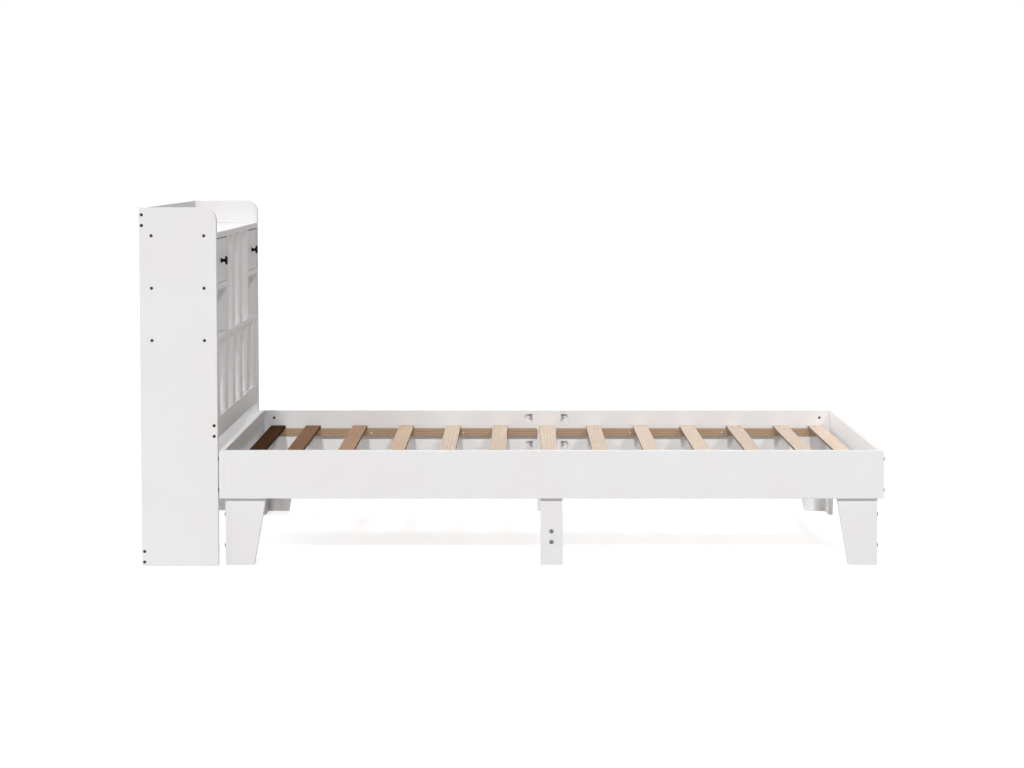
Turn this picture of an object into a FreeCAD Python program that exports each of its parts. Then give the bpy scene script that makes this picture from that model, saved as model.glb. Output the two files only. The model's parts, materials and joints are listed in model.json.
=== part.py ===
import FreeCAD, Part
import math
import os
import re
import Sketcher

# A single bed of painted pine: a slatted base on tapered legs, and a bookcase headboard with two drawers.
# Frame: +X from the headboard to the foot, +Y to the right as seen from the foot, +Z up.
# Origin: on the floor, under the middle of the whole object. Lengths in millimetres.

SIZES = [
    # Headboard carcass
    ("hb_height", 1100, "height of the headboard sides"),
    ("hb_depth", 236, "depth of the headboard sides, back to front"),
    ("hb_round", 40, "radius of the top front corner of each side"),
    ("board", 18, "thickness of every headboard board"),
    ("hb_setback", 1.5, "shelf fronts behind the fronts of the sides"),
    ("lip_height", 77, "height of the lip board, from the top shelf to the top of the sides"),
    ("bay_height", 142, "clear height of a drawer bay, and of the open bay under it"),
    ("middle_width", 432, "clear width between the two dividers"),
    ("front_rail_bottom", 391, "height of the front rail's lower edge"),
    ("front_rail_height", 63, "height of the front rail"),
    ("back_rail_bottom", 3, "gap between the back rail and the floor"),
    ("back_rail_height", 63, "height of the back rail"),
    # Headboard slats
    ("hb_slat_width", 50, "width of a headboard slat"),
    ("hb_slat_thick", 10, "thickness of a headboard slat"),
    ("hb_slat_end_gap", 24.5, "gap between the outer lower slats and the headboard sides"),
    ("tenon_width", 34, "width of a slat's stub tenon"),
    ("tenon_thick", 6, "thickness of a slat's stub tenon"),
    ("tenon_length", 8, "length of a slat's stub tenon"),
    # Headboard fastenings
    ("screw_head_r", 5, "radius of a carcass screw's head"),
    ("screw_head_depth", 3, "thickness of a carcass screw's head"),
    ("screw_r", 2.5, "radius of a carcass screw's shank"),
    ("screw_length", 48, "length of a carcass screw"),
    ("shelf_screw_gap", 160, "distance between the two screws at a shelf end"),
    ("rail_screw_gap", 32.5, "distance between the two screws at a rail end"),
    ("rail_screw_low", 9, "lower screw above a rail's lower edge"),
    ("peg_r", 4, "radius of a wooden dowel"),
    ("peg_length", 24, "length of a wooden dowel"),
    ("peg_in_face", 12, "part of a dowel that sits in a board's face"),
    # Drawers
    ("drawer_setback", 5, "drawer front behind the fronts of the sides"),
    ("drawer_side_gap", 2, "gap on each side of a drawer"),
    ("drawer_top_gap", 4, "gap over a drawer front"),
    ("drawer_foot_gap", 1, "gap under a drawer front"),
    ("drawer_run_gap", 0.3, "running gap of a drawer on its shelf and its stop"),
    ("drawer_front_thick", 16, "thickness of a drawer front"),
    ("drawer_wall", 12, "thickness of a drawer's sides and back"),
    ("drawer_side_height", 108, "height of a drawer's sides"),
    ("drawer_floor_thick", 4, "thickness of a drawer bottom"),
    ("drawer_floor_lift", 8, "groove above the lower edge of a drawer's side"),
    ("groove_depth", 5, "depth of the groove for a drawer bottom"),
    ("stop_depth", 16, "depth of a drawer stop, back to front"),
    ("stop_height", 20, "height of a drawer stop"),
    # Knobs
    ("knob_reach", 20, "how far a knob stands out"),
    ("knob_cap_r", 13.5, "radius of a knob's cap"),
    ("knob_cap_thick", 6.5, "thickness of a knob's cap"),
    ("knob_cap_bevel", 2, "bevel round a knob's cap"),
    ("knob_neck_r", 4.8, "radius of a knob's neck"),
    ("knob_waist", 10.5, "neck's thinnest place from the drawer front"),
    ("knob_base_r", 7.2, "radius of a knob's base"),
    ("knob_screw_r", 2, "radius of a knob's screw"),
    ("knob_screw_grip", 11, "how far the screw goes into a knob"),
    ("knob_screw_head_r", 4, "radius of a knob screw's head"),
    ("knob_screw_head", 2.5, "thickness of a knob screw's head"),
    # Bed base
    ("frame_length", 2036, "length of the bed base over its end rails"),
    ("frame_width", 935, "width of the bed base and of the headboard"),
    ("rail_thick", 16, "thickness of the rails"),
    ("rail_height", 148, "height of the rails"),
    ("rail_bottom", 208, "height of the rails' lower edge"),
    ("ledger_depth", 20, "depth of a slat ledger"),
    ("ledger_height", 26, "height of a slat ledger"),
    ("ledger_drop", 63, "ledger's upper face below the rails' upper edge"),
    ("ledger_end_gap", 35, "gap between a ledger's end and the end rail"),
    ("slat_width", 52, "width of a bed slat"),
    ("slat_thick", 10, "thickness of a bed slat"),
    ("slat_inset", 50.5, "middle of the last bed slat from the end rail"),
    ("slat_end_pitch", 124, "spacing of the last bed slat at each end"),
    ("slat_end_gap", 1.5, "gap between a bed slat's end and the rail"),
    # Legs
    ("leg_thick", 16, "thickness of the leg boards"),
    ("leg_top_width", 125, "width of a corner leg at the rail's lower edge"),
    ("leg_foot_width", 88.5, "width of a corner leg at the floor"),
    ("mid_leg_width", 68, "width of a middle leg's face board"),
    ("mid_web_width", 52, "width of a middle leg's web board"),
    ("leg_bolt_low", 60, "height of a corner leg's lower bolt"),
    ("leg_bolt_high", 156, "height of a corner leg's upper bolt"),
    ("mid_bolt_low", 71, "height of a middle leg's lower bolt"),
    ("mid_bolt_high", 104, "height of a middle leg's upper bolt"),
    ("mid_peg_gap", 42, "distance between the dowel columns of a middle leg"),
    ("ledger_screw_r", 2, "radius of a ledger screw's shank"),
    ("ledger_screw_head_r", 4, "radius of a ledger screw's head"),
    ("ledger_screw_head", 2.5, "thickness of a ledger screw's head"),
    ("ledger_screw_length", 28, "length of a ledger screw's shank"),
    # Bed bolts and rail joints
    ("bolt_r", 3, "radius of a bed bolt"),
    ("bolt_head_r", 6.5, "radius of a bed bolt's head"),
    ("bolt_head", 3.5, "thickness of a bed bolt's head"),
    ("bolt_length", 60, "length of a bed bolt's shank"),
    ("bolt_inset", 26, "bolts of a rail from its upper and lower edges"),
    ("nut_dowel_r", 5, "radius of a cross dowel nut"),
    ("nut_dowel_length", 12, "length of a cross dowel nut"),
    ("nut_dowel_inset", 35, "cross dowel nut from the rail's end"),
    ("rod_r", 3, "radius of a joint rod"),
    ("rod_depth", 6.5, "joint rod behind the rail's inner face"),
    ("rod_tip", 4, "joint rod past its nut"),
    ("joint_wall", 50, "wood between the middle joint and a pocket"),
    ("pocket_r", 13.5, "radius of a pocket's round end"),
    ("pocket_depth", 12.5, "depth of a pocket"),
    ("joint_washer", 2.5, "thickness of a joint washer"),
    ("joint_washer_width", 11, "width of a joint washer, into the rail"),
    ("joint_washer_height", 20, "height of a joint washer"),
    ("joint_nut_flats", 10, "width across the flats of a joint nut"),
    ("joint_nut_thick", 5, "thickness of a joint nut"),
    # Finish and fits
    ("arris", 1, "bevel that eases the edges of the painted boards"),
    ("drill_gap", 0.2, "radial clearance of a drilled hole, and gap round a tenon"),
    ("overrun", 2, "how far a cut runs past the face it starts from"),
]

BED_SLAT_COUNT = 13
LOWER_SLAT_COUNT = 6
UPPER_SLAT_COUNT = 2
SHANK_FLAT_COUNT = 6
HEAD_FLAT_COUNT = 8
NUT_FLAT_COUNT = 6
LEG_PEG_SHARES = (0.35, 0.75)
MID_PEG_SHARES = (0.2, 0.8)
LEDGER_SCREW_SHARES = (0.025, 0.372, 0.72)
SIDES = (("left", -1), ("right", 1))
ENDS = (("head", -1), ("foot", 1))

doc = FreeCAD.newDocument("bed_frame")
sheet = doc.addObject("Spreadsheet::Sheet", "Sizes")
for row, (alias, number, note) in enumerate(SIZES, start=1):
    sheet.set(f"A{row}", note)
    sheet.set(f"B{row}", str(number))
    sheet.setAlias(f"B{row}", alias)
doc.recompute()

# Places that several pieces share, as expressions of the sheet's sizes
BACK = "(-(hb_depth + frame_length + 2 * bolt_head) / 2)"
HB_FRONT = f"({BACK} + hb_depth)"
SHELF_FRONT = f"({HB_FRONT} - hb_setback)"
FRONT_LINE = f"({SHELF_FRONT} - board / 2)"
HB_MIDDLE = f"({BACK} + hb_depth / 2)"
OUTER = "(frame_width / 2)"
SIDE_IN = f"({OUTER} - board)"
DIVIDER_IN = "(middle_width / 2)"
DIVIDER_OUT = f"({DIVIDER_IN} + board)"
TOP_SHELF_TOP = "(hb_height - lip_height)"
TOP_SHELF = f"({TOP_SHELF_TOP} - board)"
DRAWER_SHELF_TOP = f"({TOP_SHELF} - bay_height)"
DRAWER_SHELF = f"({DRAWER_SHELF_TOP} - board)"
LOWER_SHELF_TOP = f"({DRAWER_SHELF} - bay_height)"
LOWER_SHELF = f"({LOWER_SHELF_TOP} - board)"
FRONT_RAIL_TOP = "(front_rail_bottom + front_rail_height)"
BED_MIDDLE = f"({HB_FRONT} + bolt_head + frame_length / 2)"
END_OUT = "(frame_length / 2)"
END_IN = f"({END_OUT} - rail_thick)"
RAIL_IN = f"({OUTER} - rail_thick)"
RAIL_CORE = f"({RAIL_IN} + rail_thick / 2)"
RAIL_TOP = "(rail_bottom + rail_height)"
LEDGER_TOP = f"({RAIL_TOP} - ledger_drop)"
LEDGER = f"({LEDGER_TOP} - ledger_height)"
LEG_LAP = f"({LEDGER} - rail_bottom)"
LEG_IN = f"({RAIL_IN} - leg_thick)"
LEG_CORE = f"({RAIL_IN} - leg_thick / 2)"
END_LEG_IN = f"({END_IN} - leg_thick)"
ROD_LINE = f"({RAIL_IN} + rod_depth)"

WORD = re.compile(r"[a-z_]\w*")
NAMES = {alias for alias, number, note in SIZES}
TURNS = {
    "+x": FreeCAD.Rotation(FreeCAD.Vector(0, 1, 0), 90),
    "-x": FreeCAD.Rotation(FreeCAD.Vector(0, 1, 0), -90),
    "+y": FreeCAD.Rotation(FreeCAD.Vector(1, 0, 0), -90),
    "-y": FreeCAD.Rotation(FreeCAD.Vector(1, 0, 0), 90),
    "+z": FreeCAD.Rotation(),
    "-z": FreeCAD.Rotation(FreeCAD.Vector(1, 0, 0), 180),
}
parts = {}


def tie(thing, prop, text):
    """Bind a property to an expression of the sheet's sizes."""
    found = WORD.sub(lambda word: f"Sizes.{word[0]}" if word[0] in NAMES else word[0], text)
    thing.setExpression(prop, found)


def place(thing, at):
    """Bind the three coordinates of a placement."""
    for axis, text in zip("xyz", at):
        tie(thing, f"Placement.Base.{axis}", text)


def keep(name, thing):
    """Name a finished sub-part."""
    thing.Label = name
    parts[name] = thing
    return thing


def shift(sign, distance, middle="0"):
    """A coordinate that lies a distance from the middle, on the side of sign."""
    return f"({middle} {'+' if sign > 0 else '-'} ({distance}))"


def stretch(sign, near, far, middle="0"):
    """The low and high end of a stretch that runs from near to far, on the side of sign."""
    ends = (shift(sign, near, middle), shift(sign, far, middle))
    return ends if sign > 0 else ends[::-1]


def about(middle, size):
    """The low and high end of a stretch centred on middle."""
    return (f"({middle} - ({size}) / 2)", f"({middle} + ({size}) / 2)")


def heading(axis, sign):
    """The direction along an axis, such as +x."""
    return ("+" if sign > 0 else "-") + axis


def span(block, x, y, z):
    """Bind the three sizes of a block to three pairs of coordinates."""
    for prop, (low, high) in zip(("Length", "Width", "Height"), (x, y, z)):
        tie(block, prop, f"({high}) - ({low})")


def box(x, y, z):
    """A square-edged block between three pairs of coordinates."""
    block = doc.addObject("Part::Box", "block")
    span(block, x, y, z)
    place(block, (x[0], y[0], z[0]))
    return block


def ease(body, base):
    """Take the sharp arris off every edge of a body's last feature."""
    doc.recompute()
    eased = body.newObject("PartDesign::Chamfer", "eased")
    eased.Base = (base, [""])
    eased.UseAllEdges = True
    tie(eased, "Size", "arris")
    body.Tip = eased
    return body


def plank(x, y, z):
    """A planed board with eased edges between three pairs of coordinates."""
    body = doc.addObject("PartDesign::Body", "plank")
    block = body.newObject("PartDesign::AdditiveBox", "planed")
    span(block, x, y, z)
    place(body, (x[0], y[0], z[0]))
    return ease(body, block)


def cylinder(at, along, radius, length):
    """A round bar that starts at a point and runs along a direction."""
    bar = doc.addObject("Part::Cylinder", "bar")
    bar.Placement.Rotation = TURNS[along]
    tie(bar, "Radius", radius)
    tie(bar, "Height", length)
    place(bar, at)
    return bar


def prism(at, along, radius, length, flats=SHANK_FLAT_COUNT):
    """A light stand-in for a small round bar, with flats inside its circle."""
    bar = doc.addObject("Part::Prism", "prism")
    bar.Polygon = flats
    bar.Placement.Rotation = TURNS[along]
    tie(bar, "Circumradius", radius)
    tie(bar, "Height", length)
    place(bar, at)
    return bar


def fuse(things):
    """One solid of several that touch or overlap."""
    if len(things) == 1:
        return things[0]
    whole = doc.addObject("Part::MultiFuse", "whole")
    whole.Shapes = things
    return whole


def cut(blank, tools):
    """A blank less its holes, pockets and grooves."""
    rest = doc.addObject("Part::Cut", "rest")
    rest.Base = blank
    rest.Tool = fuse(tools)
    return rest


def group(things):
    """Identical pieces as separate solids of one sub-part."""
    bundle = doc.addObject("Part::Compound", "bundle")
    bundle.Links = things
    return bundle


def hole(at, along, radius, depth, flats=SHANK_FLAT_COUNT):
    """A drilled hole with its clearance, from a face into the wood, to match a small bar."""
    return prism(at, along, f"{radius} + drill_gap", f"{depth} + drill_gap", flats)


def headed(at, along, radius, length, head_radius, head):
    """A bolt or screw whose head stands on the point that its shank starts from."""
    back = {"+": "-", "-": "+"}[along[0]] + along[1]
    shank = prism(at, along, radius, length)
    return fuse([shank, prism(at, back, head_radius, head, HEAD_FLAT_COUNT)])


def origin_feature(body, role):
    """A plane or axis of a body's own origin."""
    return next(feature for feature in body.Origin.OriginFeatures if feature.Role == role)


def outline(body, corners):
    """A closed sketch of straight lines on the body's XZ plane, each corner tied to the sheet."""
    sketch = body.newObject("Sketcher::SketchObject", "outline")
    sketch.AttachmentSupport = [(origin_feature(body, "XZ_Plane"), "")]
    sketch.MapMode = "FlatFace"
    count = len(corners)
    turn = 2 * math.pi / count
    unit = [FreeCAD.Vector(math.cos(turn * i), math.sin(turn * i), 0) for i in range(count)]
    for i in range(count):
        sketch.addGeometry(Part.LineSegment(unit[i], unit[(i + 1) % count]), False)
    for i in range(count):
        sketch.addConstraint(Sketcher.Constraint("Coincident", i, 2, (i + 1) % count, 1))
    for i, corner in enumerate(corners):
        for kind, text in zip(("DistanceX", "DistanceY"), corner):
            index = sketch.addConstraint(Sketcher.Constraint(kind, -1, 1, i, 1, 1))
            tie(sketch, f"Constraints[{index}]", text)
    return sketch


def plate(name, corners, thickness):
    """A body of even thickness, centred on its XZ plane."""
    body = doc.addObject("PartDesign::Body", name + "_body")
    pad = body.newObject("PartDesign::Pad", "pad")
    pad.Profile = outline(body, corners)
    pad.SideType = "Symmetric"
    tie(pad, "Length", thickness)
    return body, pad


def dress(body, base, kind, rank, count, prop, size):
    """Fillet or chamfer the edges of a body's last feature that rank highest."""
    doc.recompute()
    edges = base.Shape.Edges
    best = sorted(range(len(edges)), key=lambda i: rank(edges[i]))[-count:]
    feature = body.newObject(kind, "dressed")
    feature.Base = (base, [f"Edge{i + 1}" for i in best])
    tie(feature, prop, size)
    return feature


# Bed base: rails

def bolt_heights():
    """The heights of the two bolts, rods or nuts of a rail."""
    return ["(rail_bottom + bolt_inset)", f"({RAIL_TOP} - bolt_inset)"]


def leg_peg_spots():
    """How far the two dowels of a corner leg board stand from the corner."""
    return [f"(leg_thick + (leg_top_width - leg_thick) * {share})" for share in LEG_PEG_SHARES]


def mid_peg_heights():
    """The heights of the dowels that hold a middle leg to the rail."""
    return [f"(rail_bottom + {LEG_LAP} * {share})" for share in MID_PEG_SHARES]


def ledger_screw_lines(end):
    """The places of a ledger's screws along the bed."""
    return [shift(end, f"{LEDGER_END} - {LEDGER_LENGTH} * {share}", BED_MIDDLE) for share in LEDGER_SCREW_SHARES]


LEG_PEG_HEIGHT = f"(rail_bottom + {LEG_LAP} / 2)"
PEG_REST = "(peg_length - peg_in_face)"
LEDGER_SCREW_BITE = "(ledger_screw_length - ledger_depth)"
LEDGER_END = f"({END_IN} - ledger_end_gap)"
LEDGER_LENGTH = f"({LEDGER_END} - mid_leg_width / 2)"
LEDGER_MIDDLE = f"({LEDGER} + ledger_height / 2)"


def side_rail(end, side):
    """Half of a side rail, sawn square at the middle of the bed, with its holes and joint pockets."""
    blank = plank(
        stretch(end, "-arris", END_IN, BED_MIDDLE),
        stretch(side, RAIL_IN, OUTER),
        ("rail_bottom", RAIL_TOP),
    )
    inward, outward = heading("x", -end), heading("y", side)
    face = shift(side, RAIL_IN)
    pocket_face = shift(side, f"{RAIL_IN} - overrun")
    pocket_middle = shift(end, "joint_wall + pocket_r", BED_MIDDLE)
    tools = [box(
        stretch(end, "-arris - overrun", "0", BED_MIDDLE),
        stretch(side, f"{RAIL_IN} - overrun", f"{OUTER} + overrun"),
        ("(rail_bottom - overrun)", f"({RAIL_TOP} + overrun)"),
    )]
    for height in bolt_heights():
        bolt_start = (shift(end, END_IN, BED_MIDDLE), shift(side, RAIL_CORE), height)
        tools.append(hole(bolt_start, inward, "bolt_r", "(bolt_length - rail_thick)"))
        nut_start = (shift(end, f"{END_IN} - nut_dowel_inset", BED_MIDDLE), pocket_face, height)
        nut_depth = "overrun + (rail_thick + nut_dowel_length) / 2"
        tools.append(hole(nut_start, outward, "nut_dowel_r", nut_depth, HEAD_FLAT_COUNT))
        rod_start = (BED_MIDDLE, shift(side, ROD_LINE), height)
        tools.append(hole(rod_start, heading("x", end), "rod_r", "(joint_wall + overrun)"))
        round_start = (pocket_middle, pocket_face, height)
        tools.append(cylinder(round_start, outward, "pocket_r", "pocket_depth + overrun"))
        tools.append(box(
            stretch(end, "joint_wall", "joint_wall + pocket_r", BED_MIDDLE),
            stretch(side, f"{RAIL_IN} - overrun", f"{RAIL_IN} + pocket_depth"),
            about(height, "2 * pocket_r"),
        ))
    for spot in leg_peg_spots():
        start = (shift(end, f"{END_IN} - {spot}", BED_MIDDLE), face, LEG_PEG_HEIGHT)
        tools.append(hole(start, outward, "peg_r", PEG_REST))
    for height in mid_peg_heights():
        start = (shift(end, "mid_peg_gap / 2", BED_MIDDLE), face, height)
        tools.append(hole(start, outward, "peg_r", PEG_REST))
    for line in ledger_screw_lines(end):
        tools.append(hole((line, face, LEDGER_MIDDLE), outward, "ledger_screw_r", LEDGER_SCREW_BITE))
    return cut(blank, tools)


def end_rail(end):
    """A rail across the end of the bed, with its bolt holes and dowel holes."""
    blank = plank(
        stretch(end, END_IN, END_OUT, BED_MIDDLE),
        about("0", "frame_width"),
        ("rail_bottom", RAIL_TOP),
    )
    outward = heading("x", end)
    tools = []
    for name, side in SIDES:
        for height in bolt_heights():
            start = (shift(end, f"{END_IN} - overrun", BED_MIDDLE), shift(side, RAIL_CORE), height)
            tools.append(hole(start, outward, "bolt_r", "(rail_thick + 2 * overrun)"))
        for spot in leg_peg_spots():
            start = (shift(end, END_IN, BED_MIDDLE), shift(side, f"{RAIL_IN} - {spot}"), LEG_PEG_HEIGHT)
            tools.append(hole(start, outward, "peg_r", PEG_REST))
    return cut(blank, tools)


def ledger(end, side):
    """A strip on a side rail that carries the slats, from the last slat to the middle leg."""
    blank = plank(
        stretch(end, "mid_leg_width / 2", LEDGER_END, BED_MIDDLE),
        stretch(side, f"{RAIL_IN} - ledger_depth", RAIL_IN),
        (LEDGER, LEDGER_TOP),
    )
    face = shift(side, f"{RAIL_IN} - ledger_depth - overrun")
    through = "(ledger_depth + 2 * overrun)"
    tools = []
    for line in ledger_screw_lines(end):
        tools.append(hole((line, face, LEDGER_MIDDLE), heading("y", side), "ledger_screw_r", through))
    return cut(blank, tools)


for end_name, end in ENDS:
    keep(f"{end_name}_end_rail", end_rail(end))
    for side_name, side in SIDES:
        keep(f"side_rail_{side_name}_{end_name}", side_rail(end, side))
        keep(f"slat_ledger_{side_name}_{end_name}", ledger(end, side))


# Bed base: slats

def bed_slat(middle):
    """A slat across the ledgers."""
    return box(
        about(middle, "slat_width"),
        about("0", f"2 * ({RAIL_IN} - slat_end_gap)"),
        (LEDGER_TOP, f"{LEDGER_TOP} + slat_thick"),
    )


EVEN_SLATS = (BED_SLAT_COUNT - 2 - 1) // 2
SLAT_REACH = f"({END_IN} - slat_inset)"
SLAT_PITCH = f"(({SLAT_REACH} - slat_end_pitch) / {EVEN_SLATS})"
slats = [bed_slat(f"({BED_MIDDLE} + {SLAT_PITCH} * ({step}))") for step in range(-EVEN_SLATS, EVEN_SLATS + 1)]
slats += [bed_slat(shift(end, SLAT_REACH, BED_MIDDLE)) for name, end in ENDS]
keep("bed_slats", group(slats))


# Bed base: corner legs

def leg_blank(name, start):
    """A tapered leg board that starts a distance from the corner, at its square edge."""
    corners = [
        ("0", "0"),
        (f"leg_foot_width - {start}", "0"),
        (f"leg_top_width - {start}", "rail_bottom"),
        (f"leg_top_width - {start}", LEDGER),
        ("0", LEDGER),
    ]
    body, pad = plate(name, corners, "leg_thick")
    return ease(body, pad)


def leg_side_board(name, end, side):
    """The leg board along the side rail, with holes in its end for the leg bolts."""
    body = leg_blank(name, "leg_thick")
    body.Placement.Rotation = FreeCAD.Rotation(FreeCAD.Vector(0, 0, 1), 180 if end > 0 else 0)
    place(body, (shift(end, END_LEG_IN, BED_MIDDLE), shift(side, LEG_CORE), "0"))
    inward = heading("x", -end)
    tools = []
    for height in ("leg_bolt_low", "leg_bolt_high"):
        start = (shift(end, END_LEG_IN, BED_MIDDLE), shift(side, LEG_CORE), height)
        tools.append(hole(start, inward, "bolt_r", "(bolt_length - leg_thick)"))
    for spot in leg_peg_spots():
        start = (shift(end, f"{END_IN} - {spot}", BED_MIDDLE), shift(side, RAIL_IN), LEG_PEG_HEIGHT)
        tools.append(hole(start, heading("y", -side), "peg_r", "peg_in_face"))
    return cut(body, tools)


def leg_end_board(name, end, side):
    """The leg board along the end rail, which laps the side board's edge."""
    body = leg_blank(name, "0")
    body.Placement.Rotation = FreeCAD.Rotation(FreeCAD.Vector(0, 0, 1), -90 if side > 0 else 90)
    place(body, (shift(end, f"{END_IN} - leg_thick / 2", BED_MIDDLE), shift(side, RAIL_IN), "0"))
    outward = heading("x", end)
    inner_face = shift(end, f"{END_LEG_IN} - overrun", BED_MIDDLE)
    through = "(leg_thick + 2 * overrun)"
    tools = []
    for height in ("leg_bolt_low", "leg_bolt_high"):
        tools.append(hole((inner_face, shift(side, LEG_CORE), height), outward, "bolt_r", through))
    for spot in leg_peg_spots():
        start = (shift(end, END_IN, BED_MIDDLE), shift(side, f"{RAIL_IN} - {spot}"), LEG_PEG_HEIGHT)
        tools.append(hole(start, heading("x", -end), "peg_r", "peg_in_face"))
    return cut(body, tools)


for end_name, end in ENDS:
    for side_name, side in SIDES:
        corner = f"{side_name}_{end_name}"
        keep(f"leg_side_board_{corner}", leg_side_board(f"leg_side_{corner}", end, side))
        keep(f"leg_end_board_{corner}", leg_end_board(f"leg_end_{corner}", end, side))


# Bed base: middle legs

def mid_leg_face(side):
    """The board of a middle leg that laps the rail joint and carries the middle slat."""
    blank = plank(
        about(BED_MIDDLE, "mid_leg_width"),
        stretch(side, LEG_IN, RAIL_IN),
        ("0", LEDGER_TOP),
    )
    inner_face = shift(side, f"{LEG_IN} - overrun")
    through = "(leg_thick + 2 * overrun)"
    outward = heading("y", side)
    tools = []
    for height in ("mid_bolt_low", "mid_bolt_high"):
        tools.append(hole((BED_MIDDLE, inner_face, height), outward, "bolt_r", through))
    for end_name, end in ENDS:
        for height in mid_peg_heights():
            start = (shift(end, "mid_peg_gap / 2", BED_MIDDLE), shift(side, RAIL_IN), height)
            tools.append(hole(start, heading("y", -side), "peg_r", "peg_in_face"))
    return cut(blank, tools)


def mid_leg_web(side):
    """The board that stands square behind a middle leg's face board."""
    blank = plank(
        about(BED_MIDDLE, "leg_thick"),
        stretch(side, f"{LEG_IN} - mid_web_width", LEG_IN),
        ("0", LEDGER_TOP),
    )
    tools = []
    for height in ("mid_bolt_low", "mid_bolt_high"):
        start = (BED_MIDDLE, shift(side, LEG_IN), height)
        tools.append(hole(start, heading("y", -side), "bolt_r", "(bolt_length - leg_thick)"))
    return cut(blank, tools)


for side_name, side in SIDES:
    keep(f"mid_leg_face_{side_name}", mid_leg_face(side))
    keep(f"mid_leg_web_{side_name}", mid_leg_web(side))


# Bed base: bolts, screws and joint hardware

def bed_bolt(at, along):
    """A bed bolt with a flat round head."""
    return headed(at, along, "bolt_r", "bolt_length", "bolt_head_r", "bolt_head")


def ledger_screw(at, along):
    """A screw through a ledger into a rail."""
    return headed(at, along, "ledger_screw_r", "ledger_screw_length", "ledger_screw_head_r", "ledger_screw_head")


def peg(at, along):
    """A wooden dowel, from the bottom of its hole in one board into the next."""
    return prism(at, along, "peg_r", "peg_length")


def cross_nut(end, side, height):
    """A round nut across the rail that a corner bolt screws into."""
    middle = shift(end, f"{END_IN} - nut_dowel_inset", BED_MIDDLE)
    start = (middle, shift(side, f"{RAIL_CORE} - nut_dowel_length / 2"), height)
    blank = prism(start, heading("y", side), "nut_dowel_r", "nut_dowel_length", HEAD_FLAT_COUNT)
    bore_start = (shift(end, "nut_dowel_r + overrun", middle), shift(side, RAIL_CORE), height)
    bore = hole(bore_start, heading("x", -end), "bolt_r", "2 * (nut_dowel_r + overrun)")
    return cut(blank, [bore])


def joint_washer(end, side, height):
    """A plate that spreads a joint nut's load on the pocket's flat wall."""
    blank = box(
        stretch(end, "joint_wall", "joint_wall + joint_washer", BED_MIDDLE),
        about(shift(side, ROD_LINE), "joint_washer_width"),
        about(height, "joint_washer_height"),
    )
    start = (shift(end, "joint_wall - overrun", BED_MIDDLE), shift(side, ROD_LINE), height)
    bore = hole(start, heading("x", end), "rod_r", "joint_washer + 2 * overrun")
    return cut(blank, [bore])


def joint_nut(end, side, height):
    """A hexagon nut on the end of a joint rod."""
    face = "joint_wall + joint_washer"
    seat = (shift(end, face, BED_MIDDLE), shift(side, ROD_LINE), height)
    hexagon = prism(seat, heading("x", end), "joint_nut_flats / sqrt(3)", "joint_nut_thick", NUT_FLAT_COUNT)
    start = (shift(end, f"{face} - overrun", BED_MIDDLE), shift(side, ROD_LINE), height)
    bore = hole(start, heading("x", end), "rod_r", "joint_nut_thick + 2 * overrun")
    return cut(hexagon, [bore])


def joint_rod(side, height):
    """A threaded rod that pulls the two halves of a side rail together."""
    reach = "(joint_wall + joint_washer + joint_nut_thick + rod_tip)"
    start = (f"({BED_MIDDLE} - {reach})", shift(side, ROD_LINE), height)
    return prism(start, "+x", "rod_r", f"2 * {reach}")


corner_bolts, cross_nuts, leg_bolts, ledger_screws, leg_pegs, rods, washers, nuts = ([] for kind in range(8))
for side_name, side in SIDES:
    for height in bolt_heights():
        rods.append(joint_rod(side, height))
    for height in ("mid_bolt_low", "mid_bolt_high"):
        leg_bolts.append(bed_bolt((BED_MIDDLE, shift(side, RAIL_IN), height), heading("y", -side)))
    for end_name, end in ENDS:
        inward, outward = heading("x", -end), heading("x", end)
        for height in bolt_heights():
            corner = (shift(end, END_OUT, BED_MIDDLE), shift(side, RAIL_CORE), height)
            corner_bolts.append(bed_bolt(corner, inward))
            cross_nuts.append(cross_nut(end, side, height))
            washers.append(joint_washer(end, side, height))
            nuts.append(joint_nut(end, side, height))
        for height in ("leg_bolt_low", "leg_bolt_high"):
            leg_bolts.append(bed_bolt((shift(end, END_IN, BED_MIDDLE), shift(side, LEG_CORE), height), inward))
        side_depth = shift(side, f"{RAIL_IN} - peg_in_face")
        end_depth = shift(end, f"{END_IN} - peg_in_face", BED_MIDDLE)
        for spot in leg_peg_spots():
            on_side = (shift(end, f"{END_IN} - {spot}", BED_MIDDLE), side_depth, LEG_PEG_HEIGHT)
            on_end = (end_depth, shift(side, f"{RAIL_IN} - {spot}"), LEG_PEG_HEIGHT)
            leg_pegs.append(peg(on_side, heading("y", side)))
            leg_pegs.append(peg(on_end, outward))
        for height in mid_peg_heights():
            start = (shift(end, "mid_peg_gap / 2", BED_MIDDLE), side_depth, height)
            leg_pegs.append(peg(start, heading("y", side)))
        for line in ledger_screw_lines(end):
            start = (line, shift(side, f"{RAIL_IN} - ledger_depth"), LEDGER_MIDDLE)
            ledger_screws.append(ledger_screw(start, heading("y", side)))
keep("corner_bolts", group(corner_bolts))
keep("cross_dowel_nuts", group(cross_nuts))
keep("leg_bolts", group(leg_bolts))
keep("ledger_screws", group(ledger_screws))
keep("rail_joint_rods", group(rods))
keep("rail_joint_washers", group(washers))
keep("rail_joint_nuts", group(nuts))


# Headboard: where its screws, dowels and mortises go

def shelf_screw_lines():
    """The two screw lines of a shelf, front and back."""
    return [shift(sign, "shelf_screw_gap / 2", HB_MIDDLE) for sign in (-1, 1)]


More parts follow.
